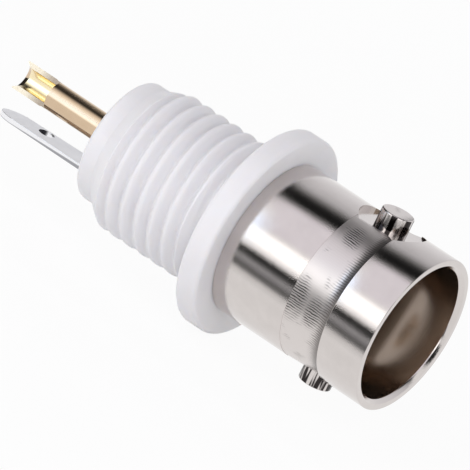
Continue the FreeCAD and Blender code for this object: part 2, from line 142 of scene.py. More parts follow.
# %% A material and its nodes
class Finish:
    """One material, or the world's look. Constants go straight on the shader's sockets."""

    def __init__(self, name, world=None, **constants):
        self.material = world or bpy.data.materials.new(name)
        self.material.use_nodes = True
        self.tree = self.material.node_tree
        self.shader = self.tree.nodes.get("Principled BSDF")
        for socket, value in constants.items():
            self.shader.inputs[socket.replace("_", " ")].default_value = value

    def node(self, kind, settings=None, sockets=None, output=0):
        """Add a node: settings first, then its sockets by name or number."""
        node = self.tree.nodes.new(kind)
        for name, value in (settings or {}).items():
            if name == "stops":
                ramp = node.color_ramp
                for stop, (position, shade) in enumerate(value):
                    if stop >= len(ramp.elements):
                        ramp.elements.new(position)
                    ramp.elements[stop].position = position
                    ramp.elements[stop].color = (*shade, 1.0)
            else:
                setattr(node, name, value)
        for socket, value in (sockets or {}).items():
            self.feed(node.inputs[socket], value)
        return Value(self, node.outputs[output])

    def feed(self, socket, value):
        if isinstance(value, Value):
            self.tree.links.new(value.socket, socket)
        else:
            socket.default_value = value

    def drive(self, **sockets):
        """Feed the shader's own sockets."""
        for socket, value in sockets.items():
            self.feed(self.shader.inputs[socket.replace("_", " ")], value)

    def place(self):
        """The point on the piece, in millimetres."""
        at = self.node("ShaderNodeTexCoord", output="Object")
        return self.node("ShaderNodeVectorMath", {"operation": "SCALE"}, {0: at, "Scale": 1 / MM})

    def split(self, vector):
        """The x, y and z of a vector."""
        node = self.node("ShaderNodeSeparateXYZ", None, {0: vector}).socket.node
        return [Value(self, node.outputs[axis]) for axis in "XYZ"]

    def round_the_axis(self, along, around):
        """A place unrolled from the round: x and the angle about the axis, each scaled."""
        x, y, z = self.split(self.place())
        angle = y.math("ARCTAN2", y, z)
        return self.node("ShaderNodeCombineXYZ", None, {0: x * along, 1: angle * around})

    def round_a_post(self, at, around, up):
        """A place unrolled from a post along Z: the angle about it and the height, each scaled."""
        x, y, z = self.split(self.place())
        angle = y.math("ARCTAN2", y, x - at)
        return self.node("ShaderNodeCombineXYZ", None, {0: angle * around, 1: z * up})

    def noise(self, at, scale, detail=2.0):
        sockets = {"Vector": at, "Scale": scale, "Detail": detail}
        return self.node("ShaderNodeTexNoise", None, sockets)

    def blend(self, share, low, high):
        """One colour to another as share goes from 0 to 1. A colour may itself be a blend."""
        ends = [end if isinstance(end, Value) else (*end, 1.0) for end in (low, high)]
        sockets = {0: share, 6: ends[0], 7: ends[1]}
        return self.node("ShaderNodeMix", {"data_type": "RGBA"}, sockets, output=2)

    def between(self, value, low, high):
        """0 below low, 1 above high, and smooth in between."""
        settings = {"interpolation_type": "SMOOTHSTEP"}
        sockets = {"Value": value, "From Min": low, "From Max": high}
        return self.node("ShaderNodeMapRange", settings, sockets)

    def relief(self, height, strength, depth):
        """A bump from a height, depth in millimetres."""
        sockets = {"Height": height, "Strength": strength, "Distance": depth * MM}
        self.drive(Normal=self.node("ShaderNodeBump", None, sockets))

    def tell(self):
        print(self.material.name, len(self.tree.nodes), "nodes")


# %% [markdown]
# ## Studio
# Polished metal shows its surroundings, so the studio is half of the material. The stripes on
# the barrel are lit and dark panels that run along the jack. Here a half tunnel over the jack
# glows by its height angle: 0 degrees is the horizon behind, 90 is overhead and 180 is the
# horizon on the camera's side. It could be a row of separate lamps, but a ramp gives the soft
# edges of real panels. The camera doesn't see the tunnel. The floor and the world are white to
# the camera and to reflections.

# %% Light that is seen
WHITE = (1.0, 1.0, 1.0)


def ramp_stops(stops, low, high):
    """Ramp positions from 0 to 1 for stops of (place, brightness, tint)."""
    return [
        ((place - low) / (high - low), tuple(bright * part for part in tint))
        for place, bright, tint in stops
    ]


def glow(name, colour, strength=1.0):
    """A material that only gives light, of one colour or by a ramp."""
    finish = Finish(name)
    light = {"Color": (*colour, 1.0), "Strength": strength}
    shine = finish.node("ShaderNodeEmission", None, light)
    finish.feed(finish.tree.nodes["Material Output"].inputs["Surface"], shine)
    return finish, shine.socket.node


def seen_rays(finish):
    """1 for rays from the camera and for reflections of what it sees."""
    path = finish.node("ShaderNodeLightPath").socket.node
    kinds = ("Is Camera Ray", "Is Glossy Ray", "Is Transmission Ray")
    camera_ray, glossy_ray, through_ray = (Value(finish, path.outputs[kind]) for kind in kinds)
    seen = camera_ray.math("MAXIMUM", camera_ray, glossy_ray)
    return seen.math("MAXIMUM", seen, through_ray)


def staged(name, bm, material, seen=True):
    """An object of the studio, which isn't part of the jack."""
    prop = bpy.data.objects.new(name, bpy.data.meshes.new(name))
    bm.to_mesh(prop.data)
    bm.free()
    prop.data.materials.append(material)
    prop.visible_camera = seen
    bpy.context.scene.collection.objects.link(prop)
    return prop


# %% Floor and world
FLOOR_SIZE = 3000 * MM
FLOOR_GAP = 0.01 * MM  # below the flange's rim
WHITE_SHARE = 0.93  # of the floor's look that is plain white, and the rest keeps the shadow
WORLD_LIGHT = 0.95

paper = Finish("white_paper", Base_Color=(0.9, 0.9, 0.9, 1.0), Roughness=0.9)
white = paper.node("ShaderNodeEmission", None, {"Color": (*WHITE, 1.0), "Strength": 1.0})
plain = Value(paper, paper.shader.outputs[0])
white_part = seen_rays(paper) * WHITE_SHARE
look = paper.node("ShaderNodeMixShader", None, {0: white_part, 1: plain, 2: white})
paper.feed(paper.tree.nodes["Material Output"].inputs["Surface"], look)
bm = bmesh.new()
bmesh.ops.create_grid(bm, x_segments=1, y_segments=1, size=FLOOR_SIZE / 2)
bmesh.ops.translate(bm, verts=bm.verts, vec=(0, 0, cad_box[0].z - FLOOR_GAP))
staged("floor", bm, paper.material)

bpy.context.scene.world = bpy.data.worlds.new("white_studio")
sky = Finish("white_studio", world=bpy.context.scene.world)
background = sky.tree.nodes["Background"]
background.inputs["Color"].default_value = (*WHITE, 1.0)
sky.feed(background.inputs["Strength"], seen_rays(sky) * (1.0 - WORLD_LIGHT) + WORLD_LIGHT)
print("floor at", round((cad_box[0].z - FLOOR_GAP) / MM, 3), "mm")

# %% Arched panels
# A height angle is 0 at the horizon behind, 90 overhead and 180 on the camera's side.
ARC_STEPS = 61
BELOW_HORIZON = -0.1  # radians: a smaller angle lies past the horizon on the camera's side
COOL, LAVENDER = (0.97, 0.97, 1.0), (0.97, 0.94, 1.0)
PALE_BLUE, BLUE = (0.78, 0.86, 0.93), (0.62, 0.73, 0.88)  # these turn the gold's highlight white


def arched_panel(name, radius, reach, stops, power):
    """A strip of light on an arc about the X axis, its brightness set by the height angle.

    power is the brightest that a stop may be, because a ramp's own colours end at 1.
    """
    low, high = stops[0][0], stops[-1][0]
    rear, front = reach
    bm = bmesh.new()
    start = bm.verts.new((rear * MM, radius * MM, 0))
    bmesh.ops.rotate(bm, verts=[start], matrix=Matrix.Rotation(math.radians(low), 3, "X"))
    bmesh.ops.spin(
        bm,
        geom=[start],
        cent=(0, 0, 0),
        axis=(1, 0, 0),
        angle=math.radians(high - low),
        steps=ARC_STEPS,
    )
    grown = bmesh.ops.extrude_edge_only(bm, edges=bm.edges[:])["geom"]
    pushed = [item for item in grown if isinstance(item, bmesh.types.BMVert)]
    bmesh.ops.translate(bm, verts=pushed, vec=((front - rear) * MM, 0, 0))
    finish, lamp = glow(name, WHITE, power)
    _, y, z = finish.split(finish.place())
    angle = y.math("ARCTAN2", z, y)
    angle = angle + angle.math("LESS_THAN", angle, BELOW_HORIZON) * (2 * math.pi)
    share = (angle - math.radians(low)) / math.radians(high - low)
    levels = [(place, bright / power, tint) for place, bright, tint in stops]
    ramp = {"stops": ramp_stops(levels, low, high)}
    finish.feed(lamp.inputs["Color"], finish.node("ShaderNodeValToRGB", ramp, {0: share}))
    print(name, "from", low, "to", high, "degrees")
    return staged(name, bm, finish.material, seen=False)


# %% Tunnel of soft panels
TUNNEL_RADIUS = 120
TUNNEL_REAR, TUNNEL_FRONT = -110, 200
TUNNEL_POWER = 2.0
TUNNEL = [
    (0, 0.98, WHITE),
    (27, 0.93, COOL),
    (40, 0.86, COOL),
    (52, 0.77, COOL),
    (62, 0.68, COOL),
    (69, 0.50, COOL),
    (76, 0.20, WHITE),
    (82, 0.04, WHITE),
    (89, 0.012, WHITE),
    (97, 0.02, WHITE),
    (102, 0.25, WHITE),
    (108, 0.95, LAVENDER),
    (114, 1.02, LAVENDER),
    (150, 1.02, LAVENDER),
    (155, 1.10, WHITE),
    (159, 1.85, WHITE),
    (174, 1.85, WHITE),
    (179, 1.30, WHITE),
    (183, 1.00, WHITE),
]
arched_panel("panel_tunnel", TUNNEL_RADIUS, (TUNNEL_REAR, TUNNEL_FRONT), TUNNEL, TUNNEL_POWER)

# %% Panels over the contact
# The gold contact shows other stripes than the barrel, with a wider dark one and a wider bright
# one, so the tunnel's rear end has an inner arch of its own.
REAR_PANELS_FRONT, REAR_POWER = -60, 2.8
REAR_PANELS = [
    (0, 0.90, WHITE),
    (24, 0.96, WHITE),
    (34, 0.55, WHITE),
    (48, 0.28, WHITE),
    (58, 0.15, WHITE),
    (66, 0.05, WHITE),
    (90, 0.05, WHITE),
    (98, 0.20, WHITE),
    (107, 0.52, WHITE),
    (116, 0.90, WHITE),
    (123, 1.15, WHITE),
    (136, 1.90, PALE_BLUE),
    (146, 2.70, BLUE),
    (170, 2.70, BLUE),
    (178, 1.70, PALE_BLUE),
    (183, 1.00, WHITE),
]
reach = (TUNNEL_REAR, REAR_PANELS_FRONT)
inner = arched_panel("rear_arch", TUNNEL_RADIUS - 1, reach, REAR_PANELS, REAR_POWER)
inner.visible_diffuse = False
inner.visible_shadow = False

# %% Dark cards
# Faces that look back along the jack are dark in the picture, so a dark card closes the tunnel
# behind, and a small one in front gives the dark mark in the mouth's countersink.
CARD_LEVEL, CARD_SEGMENTS = 0.03, 64
card = glow("dark_card", WHITE, CARD_LEVEL)[0].material
CARDS = {
    # radius and place in millimetres
    "rear_card": (TUNNEL_RADIUS, (TUNNEL_REAR, 0, 0)),
    "front_card": (19, (98, -24, 17)),
}
for name, (radius, place) in CARDS.items():
    bm = bmesh.new()
    bmesh.ops.create_circle(bm, cap_ends=True, segments=CARD_SEGMENTS, radius=radius * MM)
    facing = Vector(place).to_track_quat("Z", "Y").to_matrix()
    bmesh.ops.rotate(bm, verts=bm.verts, matrix=facing)
    bmesh.ops.translate(bm, verts=bm.verts, vec=Vector(place) * MM)
    dark = staged(name, bm, card, seen=False)
    dark.visible_diffuse = False
    dark.visible_shadow = False
print("cards:", ", ".join(CARDS))

# %% Fill light
# Panels and cards that suit the metal leave the white moulding too dark, so one wide lamp over
# the camera's side lights what is matt, and the metal doesn't show it.
FILL_SIZE, FILL_POWER = 150, 0.009
FILL_AT = Vector((-20, -75, 70))
fill = bpy.data.lights.new("fill", "AREA")
fill.shape, fill.size, fill.energy = "SQUARE", FILL_SIZE * MM, FILL_POWER
fill_lamp = bpy.data.objects.new("fill", fill)
bpy.context.scene.collection.objects.link(fill_lamp)
fill_lamp.location = FILL_AT * MM
fill_lamp.rotation_mode = "QUATERNION"
fill_lamp.rotation_quaternion = fill_lamp.location.to_track_quat("Z", "Y")
fill_lamp.visible_glossy = False
fill_lamp.visible_camera = False
print("fill light:", FILL_SIZE, "mm wide,", FILL_POWER, "W")

# %% Dark lines low on the camera's side
# The barrel shows two dark lines under its brightest stripe, as from the edge of a table that
# lies low. A board on the floor gives them.
BOARD_LIFT = 0.05
BOARD_FAR, BOARD_NEAR, BOARD_FRONT = -80, -9, 60  # millimetres, as are the places below
BOARD_LEVELS = [
    (-80, 0.05, WHITE),
    (-31, 0.05, WHITE),
    (-26, 0.13, WHITE),
    (-21, 0.42, COOL),
    (-17, 0.30, COOL),
    (-14, 0.13, WHITE),
    (-12.4, 0.24, WHITE),
    (-11, 0.78, WHITE),
    (-9, 0.95, WHITE),
]
# the board's rear edge slants, so that the barrel shows the board and the contact doesn't
SLANT_START, SLANT = -4, 0.43
board, board_lamp = glow("board", WHITE)
across = (board.split(board.place())[1] - BOARD_FAR) / (BOARD_NEAR - BOARD_FAR)
ramp = {"stops": ramp_stops(BOARD_LEVELS, BOARD_FAR, BOARD_NEAR)}
board.feed(board_lamp.inputs["Color"], board.node("ShaderNodeValToRGB", ramp, {0: across}))
bm = bmesh.new()
outline = [
    (SLANT_START + SLANT * BOARD_FAR, BOARD_FAR),
    (BOARD_FRONT, BOARD_FAR),
    (BOARD_FRONT, BOARD_NEAR),
    (SLANT_START + SLANT * BOARD_NEAR, BOARD_NEAR),
]
height = cad_box[0].z + BOARD_LIFT * MM
bm.faces.new([bm.verts.new((x * MM, y * MM, height)) for x, y in outline])
table = staged("board", bm, board.material, seen=False)
table.visible_diffuse = False
table.visible_shadow = False
print("board:", len(BOARD_LEVELS), "levels from", BOARD_FAR, "to", BOARD_NEAR, "mm")

# %% [markdown]
# ## Turned pieces
# Nearly every piece of the jack was turned on a lathe or moulded in a round tool, so each is an
# outline spun about the X axis. A corner's rounding is a bevel of its vertex on the outline,
# before the spin, which is cheaper and cleaner than bevelling the finished edges.

# %% Rounding
ROUND_SEGMENTS = 5


def rounded(bm, parts, size, segments=ROUND_SEGMENTS, affect="VERTICES"):
    """Round an outline's vertices, or a shape's edges, by a size in millimetres."""
    bmesh.ops.bevel(
        bm,
        geom=parts,
        offset=size * MM,
        segments=segments,
        profile=0.5,
        affect=affect,
        material=-1,
    )


# %% Lathe
SAME = 1e-7  # metres
STEPS = 128  # in a full turn, where a piece needs no others


def lathe(outline, steps, closed=True, fine=None):
    """Spin an outline of (along, radius, rounding) points, in millimetres, about the X axis.

    fine is (from, to, spacing): a stretch of the outline that gets extra points.
    """
    bm = bmesh.new()
    corners = [bm.verts.new((along * MM, 0, radius * MM)) for along, radius, _ in outline]
    for here, there in zip(corners, corners[1:]):
        bm.edges.new((here, there))
    if closed:
        bm.edges.new((corners[-1], corners[0]))
    for corner, (_, _, rounding) in zip(corners, outline):
        if rounding:
            rounded(bm, [corner], rounding)
    if fine:
        start, end, spacing = (size * MM for size in fine)
        for edge in bm.edges[:]:
            if all(start - SAME < corner.co.x < end + SAME for corner in edge.verts):
                cuts = int(edge.calc_length() / spacing)
                if cuts:
                    bmesh.ops.subdivide_edges(bm, edges=[edge], cuts=cuts)
    bmesh.ops.spin(
        bm,
        geom=bm.verts[:] + bm.edges[:],
        cent=(0, 0, 0),
        axis=(1, 0, 0),
        angle=2 * math.pi,
        steps=steps,
        use_merge=True,
    )
    bmesh.ops.remove_doubles(bm, verts=bm.verts, dist=SAME)
    bmesh.ops.recalc_face_normals(bm, faces=bm.faces)
    return bm


# %% From a bmesh to a piece
SHARP = math.radians(32)  # an edge with a wider turn keeps its crease


def finished(name, bm, finishes, node, pick=None, sharp=SHARP):
    """Make the piece that stands for a CAD node. pick gives a face's finish by number."""
    mesh = bpy.data.meshes.new(name)
    if pick:
        for face in bm.faces:
            face.material_index = pick(face)
    bm.to_mesh(mesh)
    bm.free()
    for finish in finishes:
        mesh.materials.append(finish.material)
    mesh.shade_smooth()
    mesh.set_sharp_from_angle(angle=sharp)
    piece = bpy.data.objects.new(name, mesh)
    bpy.context.scene.collection.objects.link(piece)
    # a long face next to a rounding keeps its own normal, so that its reflections run straight
    weighted = piece.modifiers.new("weighted", "WEIGHTED_NORMAL")
    weighted.keep_sharp = True
    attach(piece, "root")
    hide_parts(node)
    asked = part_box(node)[1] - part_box(node)[0]
    off = []
    for axis in range(3):
        places = [vert.co[axis] for vert in mesh.vertices]
        off.append(round((max(places) - min(places) - asked[axis]) / MM, 3))
    print(name, len(mesh.polygons), "faces,", off, "mm off the node")
    return piece


# %% Joining and cutting shapes
def joined(bm, tool, operation):
    """Cut, join or cross two closed shapes, and return the result as a new bmesh."""
    holders = []
    for shape in (bm, tool):
        mesh = bpy.data.meshes.new("in_work")
        shape.to_mesh(mesh)
        shape.free()
        holder = bpy.data.objects.new("in_work", mesh)
        bpy.context.scene.collection.objects.link(holder)
        holders.append(holder)
    work, cutter = holders
    change = work.modifiers.new("change", "BOOLEAN")
    change.operation = operation
    change.solver = "EXACT"
    change.object = cutter
    view = bpy.context.evaluated_depsgraph_get()
    result = bmesh.new()
    result.from_mesh(work.evaluated_get(view).to_mesh())
    for holder in holders:
        bpy.data.objects.remove(holder)
    bmesh.ops.remove_doubles(result, verts=result.verts, dist=SAME)
    return result


PAST = 1.0  # millimetres that a cutting tool reaches past what it cuts


def box_tool(low, high):
    """A box between two corners, in millimetres."""
    bm = bmesh.new()
    size = Vector(high) - Vector(low)
    bmesh.ops.create_cube(bm, size=1.0, matrix=Matrix.Diagonal((*(size * MM), 1.0)))
    bmesh.ops.translate(bm, verts=bm.verts, vec=(Vector(high) + Vector(low)) / 2 * MM)
    return bm


def post_tool(radius, low, high, segments, round_top=0.0):
    """A post along Z between two heights, in millimetres, its top edge rounded."""
    bm = bmesh.new()
    bmesh.ops.create_cone(
        bm,
        cap_ends=True,
        segments=segments,
        radius1=radius * MM,
        radius2=radius * MM,
        depth=(high - low) * MM,
    )
    bmesh.ops.translate(bm, verts=bm.verts, vec=(0, 0, (high + low) / 2 * MM))
    if round_top:
        top = [edge for edge in bm.edges if all(v.co.z > high * MM - SAME for v in edge.verts)]
        rounded(bm, top, round_top, affect="EDGES")
    return bm


# %% [markdown]
# ## White moulding
# The bushing is moulded in a white thermoplastic: matt, a little translucent and faintly uneven.
# A plain diffuse colour looks like paper, so a little subsurface light softens the thread's
# grooves, and fine noise breaks up both the gloss and the surface.

# %% White moulding
white_moulding = Finish(
    "white_moulding",
    Subsurface_Weight=0.5,
    Subsurface_Radius=(0.8 * MM, 0.7 * MM, 0.6 * MM),
    Subsurface_Scale=1.0,
    IOR=1.46,
)
clouds = white_moulding.noise(white_moulding.place(), 0.7, 3.0)
grain = white_moulding.noise(white_moulding.place(), 14.0, 3.0)
white_moulding.drive(
    Base_Color=white_moulding.blend(clouds, (0.805, 0.80, 0.82), (0.85, 0.845, 0.86)),
    Roughness=grain * 0.12 + 0.40,
)
white_moulding.relief(grain + clouds * 0.5, 0.25, 0.012)
white_moulding.tell()

# %% [markdown]
# ## Insulating bushing
# The flange and the tail are plain turned forms. The thread could be a swept profile, but its
# ends would need trimming. Here the spun skin has rows close together, and each vertex is pulled
# in to the depth of a helical wave wherever that wave lies under the outline: so the crests, the
# undercut at the flange and the run-out over the taper come by themselves.

# %% Bushing sizes
def mount_radius(name):
    """The radius that the record states for a mount, in millimetres."""
    mount = next(mount for mount in frame["record"]["mounts"] if mount["name"] == name)
    return mount["dims"]["r_mm"]


BARREL, CREST = mount_radius("barrel"), mount_radius("panel_thread")
bushing_low, bushing_high = (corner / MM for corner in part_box("insulating_bushing"))
FLANGE_FRONT, BUSHING_REAR, FLANGE_RADIUS = bushing_high.x, bushing_low.x, bushing_high.y
PITCH = 1.0
THREAD_DEPTH = 0.52
ROOT = CREST - THREAD_DEPTH
CREST_HALF, ROOT_HALF = 0.12, 0.08  # pitches
CREST_AT = -4.70  # a crest's middle under the upper lug
SOFTNESS = 0.34  # share of a flank that its rounded ends take
THREAD_START, THREAD_END, TAPER_END = -0.95, -7.1, -8.2
TAIL, RECESS, WEB_HOLE, NECK_HOLE = 3.77, 3.0, 1.47, 3.12
WEB_REAR, WEB_FRONT = -6.5, -5.6
bushing_outline = [
    (FLANGE_FRONT, NECK_HOLE, 0),
    (FLANGE_FRONT, FLANGE_RADIUS, 0.25),
    (0, FLANGE_RADIUS, 0.25),
    (0, ROOT, 0.6),
    (THREAD_START, ROOT, 0),
    (THREAD_START - THREAD_DEPTH, CREST, 0),
    (THREAD_END, CREST, 0),
    (TAPER_END, TAIL, 0),
    (BUSHING_REAR, TAIL, 0.3),
    (BUSHING_REAR, RECESS, 0.06),
    (WEB_REAR, RECESS, 0),
    (WEB_REAR, WEB_HOLE, 0),
    (WEB_FRONT, WEB_HOLE, 0),
    (WEB_FRONT, NECK_HOLE, 0),
]
print(f"bushing: {BUSHING_REAR:.2f} to {FLANGE_FRONT:.2f} mm, thread root {ROOT:.2f} mm")


# %% Thread
def soft_clamp(value):
    """0 to 1 as a ramp with rounded ends."""

    def area(edge):
        inside = min(max(edge, 0.0), 1.0)
        return inside * inside / 2 + max(edge - 1.0, 0.0)

    return (area(value + SOFTNESS) - area(value - SOFTNESS)) / (2 * SOFTNESS)


# The mould's two halves met at these turns, where the grooves are shallower
PARTING_LINES = {math.radians(-18): 0.45, math.radians(162): 0.75}  # turn: share that is filled
PARTING_WIDTH = math.radians(30)


def thread_radius(along, turned):
    """Radius of the right-hand thread at a place along the axis and a turn from +Z to -Y."""
    phase = (along - CREST_AT) / PITCH - turned / (2 * math.pi)
    off_crest = abs(phase - round(phase))
    flank = (off_crest - CREST_HALF) / (0.5 - CREST_HALF - ROOT_HALF)
    depth = THREAD_DEPTH
    for line, filled in PARTING_LINES.items():
        off_line = math.remainder(turned - line, 2 * math.pi) / PARTING_WIDTH
        depth *= 1 - filled * math.exp(-off_line * off_line)
    return CREST - depth * soft_clamp(flank)


BUSHING_STEPS, THREAD_ROWS = 240, 0.05
THREAD_DROP = Vector((0, -0.05, -0.16))  # the thread lies a little low of the flange's axis
DROP_ENDS = 0.8  # length over which the drop comes in
bm = lathe(bushing_outline, BUSHING_STEPS, fine=(TAPER_END, THREAD_START, THREAD_ROWS))
for vert in bm.verts:
    along, radius = vert.co.x / MM, math.hypot(vert.co.y, vert.co.z) / MM
    if TAPER_END <= along <= THREAD_START + SAME and radius > TAIL - 0.1:
        wanted = min(radius, thread_radius(along, math.atan2(-vert.co.y, vert.co.z)))
        vert.co.y *= wanted / radius
        vert.co.z *= wanted / radius
        from_end = min(along - TAPER_END, THREAD_START - along)
        vert.co += THREAD_DROP * MM * min(max(from_end, 0) / DROP_ENDS, 1)
finished("moulded_bushing", bm, [white_moulding], "insulating_bushing")

# %% [markdown]
# ## Nickel plate
# The shell is brass with polished nickel, which is a warm grey. The barrel's two polished
# cylinders are near mirrors with fine pits. The bore is only turned, so lines run round it, and
# its colour is darkened as painted shade, darker and browner farther in. The band between the
# cylinders was milled and is matt, with short chatter marks along the axis, and painted shade
# darkens it from its front ramp on. The lugs' sides carry dark vertical streaks painted in as
# reflections. A picture of scratches could be laid on, but noise and a sine wave of the angle
# about the axis follow the round shape and need no file.

# %% Nickel finishes
NICKEL = (0.69, 0.645, 0.625)
NICKEL_DULL = (0.60, 0.56, 0.54)


def polished(name):
    """A near mirror with fine pits, which make the edges of its stripes grainy."""
    finish = Finish(name, Metallic=1.0)
    pits = finish.noise(finish.place(), 20.0, 1.0)
    stains = finish.noise(finish.place(), 0.9, 4.0)
    finish.drive(Base_Color=finish.blend(stains, NICKEL_DULL, NICKEL), Roughness=pits * 0.02 + 0.03)
    finish.relief(pits, 1.0, 0.0035)
    return finish


MARKS = 195  # chatter marks in a full turn
# where the chatter is deep: x, turn from +Z to +Y in degrees, and half the spot's size in each
WORN_SPOTS = [(6.7, -96, 0.9, 20), (7.4, -36, 0.7, 12), (8.0, -98, 0.7, 15)]


def milled(name, ramp):
    """Matt nickel with chatter marks along the axis, dark in spots, and with painted shade from the
    front ramp on.
    """
    finish = Finish(name, Metallic=1.0)
    x, turned, _ = finish.split(finish.round_the_axis(1.0, 1.0))
    wander = finish.noise(finish.round_the_axis(2.2, 14.0), 1.0, 1.0)
    wave = turned * MARKS + wander * 6.0
    marks = finish.between(wave.math("SINE", wave), -0.2, 0.6)
    patches = finish.noise(finish.round_the_axis(1.1, 5.0), 1.0, 2.0)
    deep = finish.between(patches, 0.56, 0.74) * 0.5
    for spot_x, spot_turn, half, spread in WORN_SPOTS:
        along = (x - spot_x) / half
        across = (turned - math.radians(spot_turn)) / math.radians(spread)
        spot = finish.between(1.0 - along * along - across * across, 0.0, 1.0)
        deep = deep.math("MAXIMUM", deep, spot * (patches * 2.0))
    # painted shade: the band's colour goes dark from the front ramp on, for the dark that the
    # rising ramp shows
    painted_ramp_shade = finish.between(x + (marks - 0.5) * 0.30, ramp - 0.30, ramp + 0.40)
    worn = finish.blend(marks * deep, NICKEL, (0.05, 0.045, 0.04))
    finish.drive(
        Base_Color=finish.blend(painted_ramp_shade, worn, (0.22, 0.20, 0.19)),
        Roughness=patches * 0.10 + 0.30,
    )
    finish.relief(marks * (deep + 0.15), 1.0, 0.006)
    return finish


def bored(name, front):
    """Turned nickel with coarser lines round it, its colour darkened as painted shade of the bore,
    darker and browner farther in.
    """
    finish = Finish(name, Metallic=1.0)
    lines = finish.noise(finish.round_the_axis(16.0, 1.0), 1.0, 3.0)
    x, _, _ = finish.split(finish.place())
    # painted shade: dark brown deep in the bore, lighter towards the mouth
    painted_shade_fade = finish.between(x, front - 4.2, front - 2.2)
    finish.drive(
        Base_Color=finish.blend(painted_shade_fade, (0.30, 0.235, 0.185), (0.66, 0.56, 0.48)),
        Roughness=lines * 0.10 + 0.12,
    )
    finish.relief(lines, 0.5, 0.004)
    return finish


def streaked(name, at):
    """Nickel on the side of a lug, with dark vertical streaks painted in as reflections, and a bump
    along them.
    """
    finish = Finish(name, Metallic=1.0)
    streaks = finish.noise(finish.round_a_post(at, 3.2, 0.3), 1.0, 2.0)
    # painted reflection: the streaks are near black in the colour
    lines = finish.between(streaks, 0.46, 0.56)
    finish.drive(
        Base_Color=finish.blend(lines, (0.035, 0.03, 0.03), NICKEL),
        Roughness=lines * 0.1 + 0.08,
    )
    finish.relief(streaks, 1.0, 0.05)
    return finish


# %% [markdown]
# ## Shell
# One turned piece: the barrel, the mouth's countersink, the bore and the neck inside the
# bushing. The lugs stand in round pockets that a hollow cutter left, so a post and a round
# cutter are joined to and cut from the spun form.

# %% Shell sizes
shell_low, shell_high = (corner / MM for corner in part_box("jack_shell"))
FRONT, NECK_REAR, LUG_TIP = shell_high.x, shell_low.x, shell_high.z
BASE, BORE, CONTACT_BORE = BARREL - 0.075, 4.2, 3.3
BAND_FRONT, BAND_REAR = FRONT - 2.9, FRONT - 5.6
LUG_AT, LUG, POCKET, POCKET_FLOOR = FRONT - 4.05, 0.98, 2.05, 4.45
BUTTING_FACE, CORE_SHOULDER = FRONT - 8.4, FRONT - 11.4
BORE_STEP_REAR, BORE_STEP_FRONT = FRONT - 5.9, FRONT - 5.0
NECK, CORE, CORE_FRONT = 3.1, 2.75, 2.55
MOUTH_BEVEL, BAND_STEP = 0.245, 0.195
RUN_OUT, RUN_OUT_RISE = 0.50, 0.14  # where the mill left the band at its front
shell_outline = [
    (FRONT, BORE + MOUTH_BEVEL, 0.04),
    (FRONT, BARREL, 0.08),
    (BAND_FRONT, BARREL, 0.03),
    (BAND_FRONT, BARREL - BAND_STEP + RUN_OUT_RISE, 0.02),
    (BAND_FRONT - RUN_OUT, BARREL - BAND_STEP, 0.2),
    (BAND_REAR, BASE - 0.02, 0),
    (BAND_REAR, BASE, 0.01),
    (FLANGE_FRONT, BASE, 0.06),
    (FLANGE_FRONT, NECK, 0),
    (NECK_REAR, NECK, 0),
    (NECK_REAR, CORE, 0),
    (CORE_SHOULDER, CORE, 0),
    (CORE_SHOULDER, CORE_FRONT, 0),
    (BUTTING_FACE, CORE_FRONT, 0.03),
    (BUTTING_FACE, CONTACT_BORE, 0),
    (BORE_STEP_REAR, CONTACT_BORE, 0.05),
    (BORE_STEP_FRONT, BORE, 0.05),
    (FRONT - MOUTH_BEVEL + 0.03, BORE, 0.05),
]
print(f"shell: {NECK_REAR:.2f} to {FRONT:.2f} mm, lug tips at {LUG_TIP:.2f} mm")

# %% Shell shape
SHELL_SHARP = math.radians(20)
SHELL_STEPS, POCKET_STEPS = 320, 160
LUG_ROOT = 0.2  # depth of the lug's foot under the pocket's floor
polished_nickel, bore_nickel_painted_shade = polished("polished_nickel"), bored("bore_nickel_painted_shade", FRONT)
milled_nickel = milled("milled_nickel", BAND_FRONT - RUN_OUT)
lug_nickel_painted_streaks = streaked("lug_nickel_painted_streaks", LUG_AT)
for nickel in (polished_nickel, milled_nickel, bore_nickel_painted_shade, lug_nickel_painted_streaks):
    nickel.tell()
bm = lathe(shell_outline, SHELL_STEPS)
for side in (1, -1):
    pocket = post_tool(POCKET, POCKET_FLOOR, LUG_TIP + PAST, POCKET_STEPS)
    lug = post_tool(LUG, POCKET_FLOOR - LUG_ROOT, LUG_TIP, STEPS, round_top=0.1)
    for tool, operation in ((pocket, "DIFFERENCE"), (lug, "UNION")):
        bmesh.ops.translate(tool, verts=tool.verts, vec=(LUG_AT * MM, 0, 0))
        if side < 0:
            bmesh.ops.rotate(tool, verts=tool.verts, matrix=Matrix.Rotation(math.pi, 3, "X"))
        bm = joined(bm, tool, operation)


def shell_finish(face):
    """0 polished, 1 milled, 2 bored, 3 the side of a lug."""
    middle = face.calc_center_median() / MM
    off_lug = max(math.hypot(vert.co.x / MM - LUG_AT, vert.co.y / MM) for vert in face.verts)
    if off_lug < LUG + 0.01 and abs(middle.z) > POCKET_FLOOR - 0.1 and abs(face.normal.z) < 0.5:
        return 3
    outwards = face.normal.y * middle.y + face.normal.z * middle.z
    radius = math.hypot(middle.y, middle.z)
    inside = middle.x < FRONT - MOUTH_BEVEL
    if inside and (outwards < -0.1 * radius or (abs(face.normal.x) > 0.5 and radius < BORE)):
        return 2
    on_band = BAND_REAR < middle.x < BAND_FRONT and radius > POCKET_FLOOR + 0.05
    if on_band and outwards > 0.9 * radius:
        return 1
    return 0


finished(
    "turned_shell",
    bm,
    [polished_nickel, milled_nickel, bore_nickel_painted_shade, lug_nickel_painted_streaks],
    "jack_shell",
    pick=shell_finish,
    sharp=SHELL_SHARP,
)

# %% [markdown]
# ## Insulators
# The contact is held by two turned pieces of white fluoroplastic, a soft and slightly waxy
# material. The front one ends in the nose that shows in the mouth of the jack. The rear one
# has a thin sleeve that comes out through the ferrule. Plain tubes could do for what is hidden,
# but whole outlines cost little and show how the pieces hold each other.

